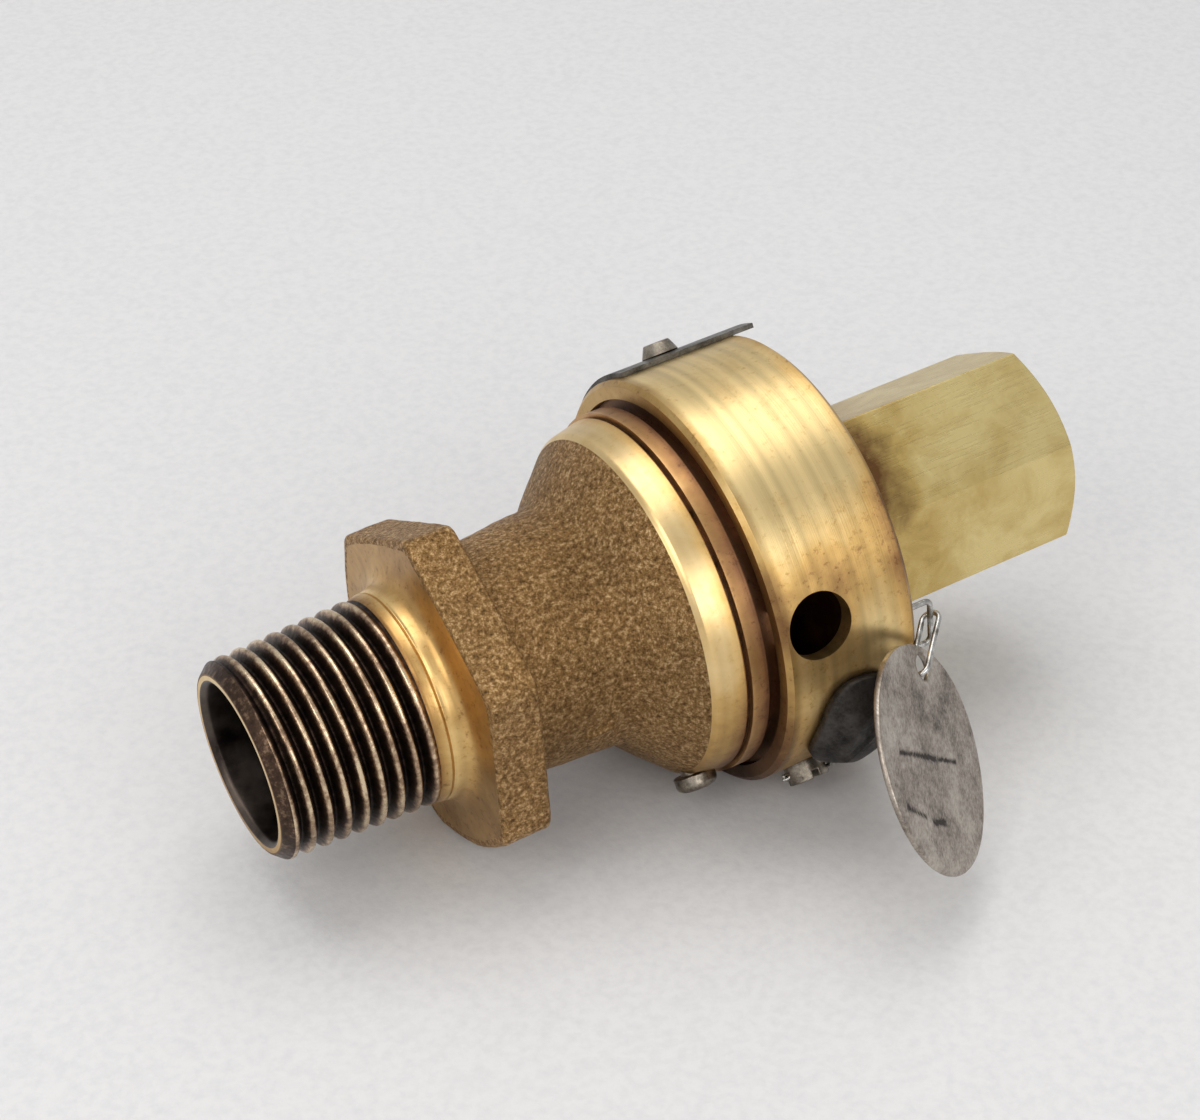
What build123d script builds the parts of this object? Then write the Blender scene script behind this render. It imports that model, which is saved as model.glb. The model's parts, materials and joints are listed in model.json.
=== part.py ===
"""Half-inch pop safety valve, lying on its side, millimetres.

The valve axis is +X: the inlet face is at x = 0 and the cap is at high x. +Z is up from the bench.
Angles around the axis are measured from +Y towards +Z.
"""
import os
from math import cos, pi, radians, sin, tan

from build123d import *

os.makedirs("parts", exist_ok=True)

# ---- fits -------------------------------------------------------------------------------------
running_fit = 0.05
slip_fit = 0.1
seat_gap = 0.03
head_clearance = 0.1
screw_end_gap = 0.2
edge_pick = 0.01

# ---- inlet and body ---------------------------------------------------------------------------
inlet_bore_r = 7.95
inlet_edge_chamfer = 0.5
inlet_face_r = 9.25
thread_pitch = 25.4 / 14
thread_count = 8
thread_crest_r = 10.22
thread_depth = 1.2
thread_taper = 1 / 32
thread_first_x = 1.9
crest_flat = 0.24
inlet_neck_r = 10.8
flange_front_x = 19.45
flange_thick = 5.25
flange_corner_r = 17.7
flange_crown_r = 16.6
flange_corner_round = 1.6
flange_fillet = 1.7
neck_r = 11.7
neck_flare = 0.8
neck_cut = 0.5
thread_runout = 0.4
bowl_start_x = 36.6
bowl_shoulder_r = 14.6
bowl_curve_len = 1.8
under_rim_len = 1.2
under_rim_drop = 1.1
rim_x = 41.8
rim_start_r = 18.1
rim_end_r = 18.65
seam_x = 44.8
body_thread_r = 15.5
body_thread_len = 4.1

# ---- seat, disc and ring ----------------------------------------------------------------------
seat_bore_r = 6.6
seat_outer_r = 9.0
seat_press_len = 9.7
seat_lip_r = 7.6
seat_lip_height = 1.0
seat_face_x = seam_x + 0.2
disc_flange_r = 9.3
disc_flange_thick = 1.55
disc_guide_r = 8.33
disc_guide_len = 7.4
disc_stem_r = 2.5
disc_stem_end_x = 15.5
ring_outer_r = 12.0
ring_len = 5.5
ring_lip_clear = 0.6
ring_notches = 16
ring_notch_width = 2.6
ring_notch_depth = 1.2
ring_notch_len = 1.5
ring_cover = 2.9
ring_step_gap = 0.5
disc_socket_floor = 2.5

# ---- bonnet -----------------------------------------------------------------------------------
gasket_thick = 0.3
gasket_edge_step = 0.3
bonnet_spigot_gap = 0.6
boss_root = 0.8
boss_top_gap = 0.2
bonnet_flange_r = 19.0
bonnet_flange_thick = 1.8
groove_r = 17.6
groove_width = 1.7
shelf_thick = 1.8
shelf_fit = 0.05
guide_wall = 1.5
chamber_r = 14.2
chamber_top_x = 49.0
gallery_len = 6.2
top_plate_thick = 3.8
spring_chamber_r = 6.9
spring_tube_wall = 1.1
spring_chamber_start_x = 57.0
spring_chamber_end_x = 77.0
spring_tube_top = 3.5
port_count = 8
port_r = 1.9

# ---- hood -------------------------------------------------------------------------------------
hood_r = 21.3
hood_wall = 1.8
hood_start_x = 47.8
hood_end_x = 62.4
hood_end_thick = 2.0
hood_lip_chamfer = 0.5
hood_end_chamfer = 0.5
hole_x = 52.0
hole_r = 3.4
hole_angles = (162.6, 282.6)
hole_relief = 0.4

# ---- cap and spring gear ----------------------------------------------------------------------
cap_flats = 19.85
cap_end_x = 90.1
cap_end_wall = 2.9
cap_edge_round = 0.15
cap_thread_len = 8.0
cap_thread_relief = 0.35
cap_gasket_thick = 0.5
spring_wire_r = 0.7
spring_mean_r = 5.0
spring_turns = 6.5
spring_end_gap = 0.03
washer_r = 6.5
washer_thick = 1.5
lower_washer_x = 57.9
upper_washer_x = 73.6
spindle_r = 1.6
spindle_end_x = 79.0
spindle_collar_r = 3.2
spindle_collar_thick = 0.9
spindle_chamfer = 0.6
adjuster_r = 3.0
adjuster_end_x = 86.0
adjuster_bore_len = 7.3
adjuster_chamfer = 0.4
adjuster_slot_width = 1.0
adjuster_slot_depth = 1.4
nut_flats = 10.0
nut_thick = 2.6
nut_washer_r = 6.0
nut_washer_thick = 0.6

# ---- screws, plate, seal and tag --------------------------------------------------------------
hood_screw_x = 53.2
hood_screw_angles = (227, 332)
hood_screw_r = 1.5
hood_screw_len = 6.0
hood_screw_head_r = 2.1
hood_screw_head_h = 2.1
hood_boss_r = 3.2
hood_screw_bed = 0.15
hood_screw_spotface = 0.2
cross_hole_r = 0.55
slot_width = 0.7
slot_depth = 0.8
lock_screw_x = 46.8
lock_screw_angle = 5
lock_screw_r = 1.25
lock_screw_flats = 3.5
lock_screw_head_h = 2.2
lock_pin_r = 0.8
lock_pin_clear = 0.5
lock_shank_gap = 0.6
set_screw_x = 42.5
set_screw_angle = 232
set_screw_r = 1.25
set_screw_head_r = 2.15
set_screw_head_h = 1.6
set_screw_bed = 0.1
set_screw_round = 0.8
spotface_r = 0.35
plate_start_x = 48.9
plate_end_x = 64.3
plate_thick = 0.5
plate_gap = 0.02
plate_angles = (-2, 62)
plate_screw_angles = (52, 8)
plate_screw_x = 55.3
plate_screw_head_r = 1.95
plate_screw_head_h = 1.3
plate_screw_shank_r = 0.9
plate_screw_taper = 25
seal_x = 55.6
seal_angle = 199.5
seal_half_len = 5.05
seal_half_width = 7.4
seal_thick = 3.2
seal_gap = 0.1
wire_r = 0.4
wire_lift = 0.85
wire_overhang = 3.0
wire_bend_r = 2.0
wire_head_gap = 0.5
wire_slack = 2
wire_exit_angle = 8
bail_wire_r = 0.3
bail_r = 20.3
bail_angles = (170, 184)
bail_reach = 2.3
bail_bend_r = 0.7
tag_r = 11.2
tag_thick = 0.6
tag_hole_r = 1.35
tag_hole_offset = 9.27
tag_centre = Vector(57.27, -30.78, -5.41)
tag_normal = Vector(0.648, -0.632, 0.425)
tag_down = Vector(-0.386, -0.754, -0.532)
loop_wire_r = 0.28
loop_half_width = 0.9


def ring_point(x, radius, angle):
    """Point at a radius and an angle around the valve axis."""
    return Vector(x, radius * cos(radians(angle)), radius * sin(radians(angle)))


def radial_plane(x, angle, radius):
    """Plane that faces straight out from the axis, at a radius."""
    return Plane(ring_point(x, radius, angle), x_dir=(1, 0, 0), z_dir=ring_point(0, 1, angle))


def turned(points):
    """Turn a closed half profile of (x, radius) points around the valve axis."""
    with BuildSketch(Plane.XY) as half:
        with BuildLine():
            Polyline(*points, close=True)
        make_face()
    revolve(half.sketch, axis=Axis.X)


def finish(piece, name):
    """Label a finished piece and write it."""
    piece.part.label = name
    export_step(piece.part, f"parts/{name}.step")


# ---- shared places ----------------------------------------------------------------------------
flange_back_x = flange_front_x + flange_thick
last_root_x = thread_first_x + thread_count * thread_pitch - thread_pitch / 2
body_floor_x = seam_x - body_thread_len
seat_start_x = body_floor_x - seat_press_len
ring_start_x = seat_face_x - seat_lip_height - ring_len + ring_cover
ring_end_x = ring_start_x + ring_len
bonnet_seat_x = seam_x + gasket_thick
groove_x = bonnet_seat_x + bonnet_flange_thick
shelf_x = groove_x + groove_width
gallery_x = shelf_x + shelf_thick
top_plate_x = gallery_x + gallery_len
bonnet_top_x = hood_end_x - hood_end_thick
hood_bore_r = hood_r - hood_wall
shelf_r = hood_bore_r - shelf_fit
guide_bore_r = disc_guide_r + running_fit
guide_outer_r = guide_bore_r + guide_wall
tube_r = spring_chamber_r + spring_tube_wall
tube_end_x = spring_chamber_end_x + spring_tube_top
cap_start_x = hood_end_x + cap_gasket_thick
port_circle_r = (guide_outer_r + chamber_r) / 2
lock_seat_r = bonnet_flange_r + running_fit
plate_inner_r = hood_r + plate_gap


# ---- body -------------------------------------------------------------------------------------
def thread_points():
    """Crests and roots of the tapered inlet thread, from the end face to the neck."""
    points = []
    for turn in range(thread_count):
        crest_x = thread_first_x + turn * thread_pitch
        crest = thread_crest_r + crest_x * thread_taper
        points += [(crest_x - crest_flat / 2, crest), (crest_x + crest_flat / 2, crest)]
        points.append((crest_x + thread_pitch / 2, crest - thread_depth))
    return points


flange_corners = [ring_point(0, flange_corner_r, 30 + 60 * k) for k in range(7)]
rim_slope = (rim_end_r - rim_start_r) / (seam_x - rim_x)
set_screw_seat_r = rim_start_r + rim_slope * (set_screw_x - rim_x) - set_screw_bed

with BuildPart() as body:
    turned(
        [(0, inlet_bore_r + inlet_edge_chamfer), (0, inlet_face_r)]
        + thread_points()
        + [
            (last_root_x + thread_runout, inlet_neck_r),
            (flange_front_x + flange_fillet, inlet_neck_r),
            (flange_back_x - 1, neck_r),
            (bowl_start_x, neck_r + neck_flare),
            (bowl_start_x + bowl_curve_len, bowl_shoulder_r),
            (rim_x - under_rim_len, rim_start_r - under_rim_drop),
            (rim_x, rim_start_r),
            (seam_x, rim_end_r),
            (seam_x, body_thread_r),
            (body_floor_x, body_thread_r),
            (body_floor_x, seat_outer_r),
            (seat_start_x, seat_outer_r),
            (seat_start_x, inlet_bore_r),
            (inlet_edge_chamfer, inlet_bore_r),
        ]
    )
    with BuildSketch(Plane.YZ.offset(flange_front_x)) as flange:
        with BuildLine():
            for side in range(3):
                start, end = flange_corners[side], flange_corners[side + 1]
                Line((start.Y, start.Z), (end.Y, end.Z))
            for side in range(3, 6):
                start, end = flange_corners[side], flange_corners[side + 1]
                middle = ring_point(0, flange_crown_r, 60 + 60 * side)
                ThreePointArc((start.Y, start.Z), (middle.Y, middle.Z), (end.Y, end.Z))
        make_face()
        fillet(flange.vertices(), flange_corner_round)
        Circle(inlet_neck_r - neck_cut, mode=Mode.SUBTRACT)
    extrude(amount=flange_thick)
    front_edge = (
        body.edges()
        .filter_by(GeomType.CIRCLE)
        .filter_by_position(Axis.X, flange_front_x - edge_pick, flange_front_x + edge_pick)
        .filter_by(lambda edge: abs(edge.radius - inlet_neck_r) < edge_pick)
    )
    fillet(front_edge, flange_fillet)
    with BuildSketch(radial_plane(set_screw_x, set_screw_angle, chamber_r)):
        Circle(set_screw_r)
    extrude(amount=rim_end_r, mode=Mode.SUBTRACT)
    with BuildSketch(radial_plane(set_screw_x, set_screw_angle, set_screw_seat_r)):
        Circle(set_screw_head_r + head_clearance)
    extrude(amount=rim_end_r, mode=Mode.SUBTRACT)
finish(body, "body")

# ---- seat bushing: pressed nozzle with the raised seat ----------------------------------------
seat_shoulder_x = seat_face_x - seat_lip_height
with BuildPart() as seat_bushing:
    turned(
        [
            (seat_start_x, seat_bore_r),
            (seat_start_x, seat_outer_r),
            (seat_shoulder_x, seat_outer_r),
            (seat_shoulder_x, seat_lip_r),
            (seat_face_x, seat_lip_r),
            (seat_face_x, seat_bore_r),
        ]
    )
finish(seat_bushing, "seat_bushing")

# ---- blowdown ring: notched ring on the nozzle ------------------------------------------------
ring_step_x = seat_shoulder_x + ring_step_gap
with BuildPart() as blowdown_ring:
    turned(
        [
            (ring_start_x, seat_outer_r + running_fit),
            (ring_start_x, ring_outer_r),
            (ring_end_x, ring_outer_r),
            (ring_end_x, disc_flange_r + ring_lip_clear),
            (ring_step_x, disc_flange_r + ring_lip_clear),
            (ring_step_x, seat_outer_r + running_fit),
        ]
    )
    for notch in range(ring_notches):
        angle = lock_screw_angle + 360 * notch / ring_notches
        with BuildSketch(radial_plane(ring_end_x, angle, ring_outer_r - ring_notch_depth)):
            Rectangle(2 * ring_notch_len, ring_notch_width)
        extrude(amount=2 * ring_notch_depth, mode=Mode.SUBTRACT)
finish(blowdown_ring, "blowdown_ring")

# ---- valve disc: flange on the seat, guide skirt above, stem down the inlet -------------------
disc_top_x = seat_face_x + seat_gap + disc_flange_thick
disc_end_x = disc_top_x + disc_guide_len
socket_x = disc_top_x + disc_socket_floor
with BuildPart() as valve_disc:
    turned(
        [
            (disc_stem_end_x, 0),
            (disc_stem_end_x, disc_stem_r),
            (seat_face_x - 2, disc_stem_r),
            (seat_face_x + seat_gap, disc_stem_r + 2),
            (seat_face_x + seat_gap, disc_flange_r),
            (disc_top_x, disc_flange_r),
            (disc_top_x, disc_guide_r),
            (disc_end_x, disc_guide_r),
            (disc_end_x, spindle_r + slip_fit),
            (socket_x, spindle_r + slip_fit),
            (socket_x, 0),
        ]
    )
finish(valve_disc, "valve_disc")

# ---- bonnet gasket ----------------------------------------------------------------------------
with BuildPart() as bonnet_gasket:
    turned(
        [
            (seam_x, body_thread_r),
            (seam_x, rim_end_r - gasket_edge_step),
            (bonnet_seat_x, rim_end_r - gasket_edge_step),
            (bonnet_seat_x, body_thread_r),
        ]
    )
finish(bonnet_gasket, "bonnet_gasket")

# ---- bonnet: seam ring, groove, disc guide, gallery, top plate and spring tube ------------------
with BuildPart() as bonnet:
    turned(
        [
            (body_floor_x + bonnet_spigot_gap, chamber_r),
            (body_floor_x + bonnet_spigot_gap, body_thread_r - running_fit),
            (bonnet_seat_x, body_thread_r - running_fit),
            (bonnet_seat_x, bonnet_flange_r),
            (groove_x, bonnet_flange_r),
            (groove_x, groove_r),
            (shelf_x, groove_r),
            (shelf_x, shelf_r),
            (gallery_x, shelf_r),
            (gallery_x, guide_outer_r),
            (top_plate_x, guide_outer_r),
            (top_plate_x, shelf_r),
            (bonnet_top_x, shelf_r),
            (bonnet_top_x, tube_r),
            (tube_end_x, tube_r),
            (tube_end_x, adjuster_r + running_fit),
            (spring_chamber_end_x, adjuster_r + running_fit),
            (spring_chamber_end_x, spring_chamber_r),
            (spring_chamber_start_x, spring_chamber_r),
            (spring_chamber_start_x, guide_bore_r),
            (chamber_top_x, guide_bore_r),
            (chamber_top_x, chamber_r),
        ]
    )
    port_start = lock_screw_angle + 180 / port_count
    with BuildSketch(Plane.YZ.offset(chamber_top_x)):
        with PolarLocations(port_circle_r, port_count, start_angle=port_start):
            Circle(port_r)
    extrude(amount=gallery_x - chamber_top_x, mode=Mode.SUBTRACT)
    for angle in hood_screw_angles:
        with BuildSketch(radial_plane(hood_screw_x, angle, guide_outer_r - boss_root)):
            Circle(hood_boss_r)
        extrude(amount=shelf_r - guide_outer_r + boss_root - boss_top_gap)
    for angle in hood_screw_angles:
        with BuildSketch(radial_plane(hood_screw_x, angle, hood_r - hood_screw_len)):
            Circle(hood_screw_r)
        extrude(amount=hood_screw_len, mode=Mode.SUBTRACT)
    with BuildSketch(radial_plane(lock_screw_x, lock_screw_angle, chamber_r - 1)):
        Circle(lock_screw_r + running_fit)
    extrude(amount=hood_r, mode=Mode.SUBTRACT)
    with BuildSketch(radial_plane(lock_screw_x, lock_screw_angle, lock_seat_r)):
        Circle(lock_screw_flats / 2 / cos(pi / 6) + spotface_r)
    extrude(amount=hood_r, mode=Mode.SUBTRACT)
    with BuildSketch(radial_plane(set_screw_x, set_screw_angle, chamber_r - 1)):
        Circle(set_screw_r)
    extrude(amount=body_thread_r, mode=Mode.SUBTRACT)
    for angle in hole_angles:
        with BuildSketch(radial_plane(hole_x, angle, chamber_r + guide_wall)):
            Circle(hole_r + hole_relief)
        extrude(amount=hood_wall + hood_r - chamber_r, mode=Mode.SUBTRACT)
finish(bonnet, "bonnet")

# ---- hood: outer drum with its end plate and discharge holes ----------------------------------
hood_screw_seat_r = hood_r - hood_screw_bed
with BuildPart() as hood:
    turned(
        [
            (hood_start_x, hood_bore_r),
            (hood_start_x, hood_r - hood_lip_chamfer),
            (hood_start_x + hood_lip_chamfer, hood_r),
            (hood_end_x - hood_end_chamfer, hood_r),
            (hood_end_x, hood_r - hood_end_chamfer),
            (hood_end_x, tube_r + slip_fit),
            (bonnet_top_x, tube_r + slip_fit),
            (bonnet_top_x, hood_bore_r),
        ]
    )
    for angle in hole_angles:
        with BuildSketch(radial_plane(hole_x, angle, hood_bore_r - 1)):
            Circle(hole_r)
        extrude(amount=2 * hood_wall, mode=Mode.SUBTRACT)
    for angle in hood_screw_angles:
        with BuildSketch(radial_plane(hood_screw_x, angle, hood_bore_r - 1)):
            Circle(hood_screw_r)
        extrude(amount=2 * hood_wall, mode=Mode.SUBTRACT)
        with BuildSketch(radial_plane(hood_screw_x, angle, hood_screw_seat_r)):
            Circle(hood_screw_head_r + hood_screw_spotface)
        extrude(amount=hood_wall, mode=Mode.SUBTRACT)
    with BuildSketch(radial_plane(lock_screw_x, lock_screw_angle, hood_bore_r - 1)):
        Circle(lock_screw_flats / 2 / cos(pi / 6) + spotface_r)
    extrude(amount=2 * hood_wall, mode=Mode.SUBTRACT)
    for angle in plate_screw_angles:
        with BuildSketch(radial_plane(plate_screw_x, angle, hood_bore_r - 1)):
            Circle(plate_screw_shank_r)
        extrude(amount=2 * hood_wall, mode=Mode.SUBTRACT)
    for angle in bail_angles:
        with BuildSketch(Plane(ring_point(bonnet_top_x, bail_r, angle), z_dir=(1, 0, 0))):
            Circle(bail_wire_r)
        extrude(amount=hood_end_thick, mode=Mode.SUBTRACT)
finish(hood, "hood")

# ---- cap gasket and cap -----------------------------------------------------------------------
with BuildPart() as cap_gasket:
    turned(
        [
            (hood_end_x, tube_r + slip_fit),
            (hood_end_x, cap_flats / 2),
            (cap_start_x, cap_flats / 2),
            (cap_start_x, tube_r + slip_fit),
        ]
    )
finish(cap_gasket, "cap_gasket")

cap_corner_r = cap_flats / 2 / cos(pi / 6)
cap_bore_end_x = cap_end_x - cap_end_wall
with BuildPart() as cap:
    with BuildSketch(Plane.YZ.offset(cap_start_x)):
        RegularPolygon(cap_corner_r, 6, rotation=30)
    extrude(amount=cap_end_x - cap_start_x)
    crown = cap_corner_r - cap_flats / 2
    with BuildSketch(Plane.XY) as crown_cut:
        with BuildLine():
            Polyline(
                (cap_end_x - crown * tan(radians(30)), cap_corner_r),
                (cap_end_x, cap_flats / 2 - cap_edge_round),
                (cap_end_x + 1, cap_flats / 2 - cap_edge_round),
                (cap_end_x + 1, cap_corner_r + 1),
                (cap_end_x - crown * tan(radians(30)), cap_corner_r + 1),
                close=True,
            )
        make_face()
    revolve(crown_cut.sketch, axis=Axis.X, mode=Mode.SUBTRACT)
    thread_end_x = cap_start_x + cap_thread_len
    with BuildSketch(Plane.XY) as cap_bore:
        with BuildLine():
            Polyline(
                (cap_start_x, 0),
                (cap_start_x, tube_r + running_fit),
                (thread_end_x, tube_r + running_fit),
                (thread_end_x, tube_r + cap_thread_relief),
                (cap_bore_end_x, tube_r + cap_thread_relief),
                (cap_bore_end_x, 0),
                close=True,
            )
        make_face()
    revolve(cap_bore.sketch, axis=Axis.X, mode=Mode.SUBTRACT)
finish(cap, "cap")

# ---- spindle, washers and spring --------------------------------------------------------------
collar_x = lower_washer_x - spindle_collar_thick
with BuildPart() as spindle:
    turned(
        [
            (socket_x, 0),
            (socket_x + spindle_chamfer, spindle_r),
            (collar_x, spindle_r),
            (collar_x, spindle_collar_r),
            (lower_washer_x, spindle_collar_r),
            (lower_washer_x, spindle_r),
            (spindle_end_x - spindle_chamfer, spindle_r),
            (spindle_end_x, spindle_r - spindle_chamfer),
            (spindle_end_x, 0),
        ]
    )
finish(spindle, "spindle")

for name, start_x in (("lower_spring_washer", lower_washer_x), ("upper_spring_washer", upper_washer_x)):
    with BuildPart() as washer:
        turned(
            [
                (start_x, spindle_r + slip_fit),
                (start_x, washer_r),
                (start_x + washer_thick, washer_r),
                (start_x + washer_thick, spindle_r + slip_fit),
            ]
        )
    finish(washer, name)

spring_start_x = lower_washer_x + washer_thick + spring_wire_r + spring_end_gap
spring_end_x = upper_washer_x - spring_wire_r - spring_end_gap
spring_len = spring_end_x - spring_start_x
with BuildPart() as spring:
    with BuildLine() as coil:
        Helix(
            pitch=spring_len / spring_turns,
            height=spring_len,
            radius=spring_mean_r,
            center=(spring_start_x, 0, 0),
            direction=(1, 0, 0),
        )
    with BuildSketch(Plane(coil.line @ 0, z_dir=coil.line % 0)):
        Circle(spring_wire_r)
    sweep(path=coil.line, is_frenet=True)
finish(spring, "spring")

# ---- adjusting screw, washer and lock nut -----------------------------------------------------
adjuster_start_x = upper_washer_x + washer_thick
with BuildPart() as adjusting_screw:
    turned(
        [
            (adjuster_start_x, spindle_r + slip_fit),
            (adjuster_start_x, adjuster_r),
            (adjuster_end_x - adjuster_chamfer, adjuster_r),
            (adjuster_end_x, adjuster_r - adjuster_chamfer),
            (adjuster_end_x, 0),
            (adjuster_start_x + adjuster_bore_len, 0),
            (adjuster_start_x + adjuster_bore_len, spindle_r + slip_fit),
        ]
    )
    with BuildSketch(Plane.YZ.offset(adjuster_end_x)):
        Rectangle(2 * adjuster_r, adjuster_slot_width)
    extrude(amount=-adjuster_slot_depth, mode=Mode.SUBTRACT)
finish(adjusting_screw, "adjusting_screw")

nut_x = tube_end_x + nut_washer_thick
with BuildPart() as lock_washer:
    turned(
        [
            (tube_end_x, adjuster_r + running_fit),
            (tube_end_x, nut_washer_r),
            (nut_x, nut_washer_r),
            (nut_x, adjuster_r + running_fit),
        ]
    )
finish(lock_washer, "lock_washer")

with BuildPart() as lock_nut:
    with BuildSketch(Plane.YZ.offset(nut_x)):
        RegularPolygon(nut_flats / 2 / cos(pi / 6), 6, rotation=30)
        Circle(adjuster_r + running_fit, mode=Mode.SUBTRACT)
    extrude(amount=nut_thick)
finish(lock_nut, "lock_nut")

# ---- hood screws: slotted heads with a wire hole ----------------------------------------------
with BuildPart() as hood_screws:
    for angle in hood_screw_angles:
        with BuildSketch(radial_plane(hood_screw_x, angle, hood_r - hood_screw_len)):
            Circle(hood_screw_r)
        extrude(amount=hood_screw_len)
        with BuildSketch(radial_plane(hood_screw_x, angle, hood_screw_seat_r)):
            Circle(hood_screw_head_r)
        extrude(amount=hood_screw_head_h)
    for angle in hood_screw_angles:
        slot_floor_r = hood_screw_seat_r + hood_screw_head_h - slot_depth
        with BuildSketch(radial_plane(hood_screw_x, angle, slot_floor_r)):
            Rectangle(slot_width, 3 * hood_screw_head_r)
        extrude(amount=slot_depth, mode=Mode.SUBTRACT)
finish(hood_screws, "hood_screws")

# ---- ring lock screw: hexagon head and a pin that sits in a notch -------------------------------
lock_pin_tip_r = ring_outer_r - ring_notch_depth + lock_pin_clear
with BuildPart() as ring_lock_screw:
    with BuildSketch(radial_plane(lock_screw_x, lock_screw_angle, lock_pin_tip_r)):
        Circle(lock_pin_r)
    extrude(amount=chamber_r - lock_pin_tip_r)
    with BuildSketch(radial_plane(lock_screw_x, lock_screw_angle, ring_outer_r + lock_shank_gap)):
        Circle(lock_screw_r)
    extrude(amount=lock_seat_r - ring_outer_r - lock_shank_gap)
    with BuildSketch(radial_plane(lock_screw_x, lock_screw_angle, lock_seat_r)):
        RegularPolygon(lock_screw_flats / 2 / cos(pi / 6), 6)
    extrude(amount=lock_screw_head_h)
    head_middle = ring_point(0, lock_seat_r + lock_screw_head_h / 2, lock_screw_angle)
    with BuildSketch(Plane(head_middle, z_dir=(1, 0, 0))):
        Circle(cross_hole_r)
    extrude(amount=lock_screw_x + lock_screw_flats, mode=Mode.SUBTRACT)
finish(ring_lock_screw, "ring_lock_screw")

# ---- body set screw: pan head under the rim ---------------------------------------------------
with BuildPart() as body_set_screw:
    with BuildSketch(radial_plane(set_screw_x, set_screw_angle, chamber_r + screw_end_gap)):
        Circle(set_screw_r)
    extrude(amount=set_screw_seat_r - chamber_r - screw_end_gap)
    with BuildSketch(radial_plane(set_screw_x, set_screw_angle, set_screw_seat_r)):
        Circle(set_screw_head_r)
    extrude(amount=set_screw_head_h)
    top_edge = body_set_screw.faces().sort_by(Axis(ring_point(0, 0, 0), ring_point(0, 1, set_screw_angle)))[-1]
    fillet(top_edge.edges(), set_screw_round)
finish(body_set_screw, "body_set_screw")

# ---- nameplate and its drive screws -----------------------------------------------------------
plate_outer_r = plate_inner_r + plate_thick
plate_start, plate_stop = plate_angles
plate_plane = Plane((0, 0, 0), x_dir=(1, 0, 0), z_dir=ring_point(0, 1, plate_start + 90))
with BuildPart() as nameplate:
    with BuildSketch(plate_plane) as strip:
        with BuildLine():
            Polyline(
                (plate_start_x, plate_inner_r),
                (plate_start_x, plate_outer_r),
                (plate_end_x, plate_outer_r),
                (plate_end_x, plate_inner_r),
                close=True,
            )
        make_face()
    revolve(strip.sketch, axis=Axis.X, revolution_arc=plate_stop - plate_start)
    for angle in plate_screw_angles:
        with BuildSketch(radial_plane(plate_screw_x, angle, hood_bore_r)):
            Circle(plate_screw_shank_r)
        extrude(amount=2 * hood_wall, mode=Mode.SUBTRACT)
finish(nameplate, "nameplate")

with BuildPart() as nameplate_screws:
    for angle in plate_screw_angles:
        with BuildSketch(radial_plane(plate_screw_x, angle, hood_bore_r + head_clearance)):
            Circle(plate_screw_shank_r)
        extrude(amount=plate_outer_r - hood_bore_r)
        with BuildSketch(radial_plane(plate_screw_x, angle, plate_outer_r)):
            Circle(plate_screw_head_r)
        extrude(amount=plate_screw_head_h, taper=plate_screw_taper)
finish(nameplate_screws, "nameplate_screws")

# ---- lead seal --------------------------------------------------------------------------------
seal_inner_r = hood_r + seal_gap
with BuildPart() as lead_seal:
    with BuildSketch(Plane.YZ.offset(seal_x - seal_half_len)):
        Circle(seal_inner_r + seal_thick)
        Circle(seal_inner_r, mode=Mode.SUBTRACT)
    extrude(amount=2 * seal_half_len)
    with BuildSketch(radial_plane(seal_x, seal_angle, hood_bore_r - 1)):
        Ellipse(seal_half_len, seal_half_width)
    extrude(amount=seal_inner_r, mode=Mode.INTERSECT)
finish(lead_seal, "lead_seal")

# ---- seal wire: drilled screw head to the lead ------------------------------------------------------
wire_lift_r = hood_screw_seat_r + wire_lift
wire_slack_angle = hood_screw_angles[0] - wire_slack
wire_points = [
    ring_point(hood_screw_x - wire_overhang, wire_lift_r, hood_screw_angles[0]),
    ring_point(hood_screw_x + hood_screw_head_r + wire_head_gap, wire_lift_r + wire_head_gap, wire_slack_angle),
    ring_point(seal_x, seal_inner_r + seal_thick / 2, seal_angle + wire_exit_angle),
]
with BuildPart() as seal_wire:
    with BuildLine() as wire_path:
        FilletPolyline(*wire_points, radius=wire_bend_r)
    with BuildSketch(Plane(wire_path.line @ 0, z_dir=wire_path.line % 0)):
        Circle(wire_r)
    sweep(path=wire_path.line)
finish(seal_wire, "seal_wire")

# ---- tag bail: a wire staple in the hood's end plate ---------------------------------------------
bail_bar_x = hood_end_x + bail_reach
bail_points = [
    ring_point(bonnet_top_x + running_fit, bail_r, bail_angles[0]),
    ring_point(bail_bar_x, bail_r, bail_angles[0]),
    ring_point(bail_bar_x, bail_r, bail_angles[1]),
    ring_point(bonnet_top_x + running_fit, bail_r, bail_angles[1]),
]
with BuildPart() as tag_bail:
    with BuildLine() as bail_path:
        FilletPolyline(*bail_points, radius=bail_bend_r)
    with BuildSketch(Plane(bail_path.line @ 0, z_dir=bail_path.line % 0)):
        Circle(bail_wire_r)
    sweep(path=bail_path.line)
finish(tag_bail, "tag_bail")

# ---- tag and its wire loop --------------------------------------------------------------------
tag_plane = Plane(tag_centre, x_dir=tag_down, z_dir=tag_normal)
with BuildPart() as tag:
    with BuildSketch(tag_plane):
        Circle(tag_r)
        with Locations((-tag_hole_offset, 0)):
            Circle(tag_hole_r, mode=Mode.SUBTRACT)
    extrude(amount=tag_thick / 2, both=True)
finish(tag, "tag")

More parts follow.
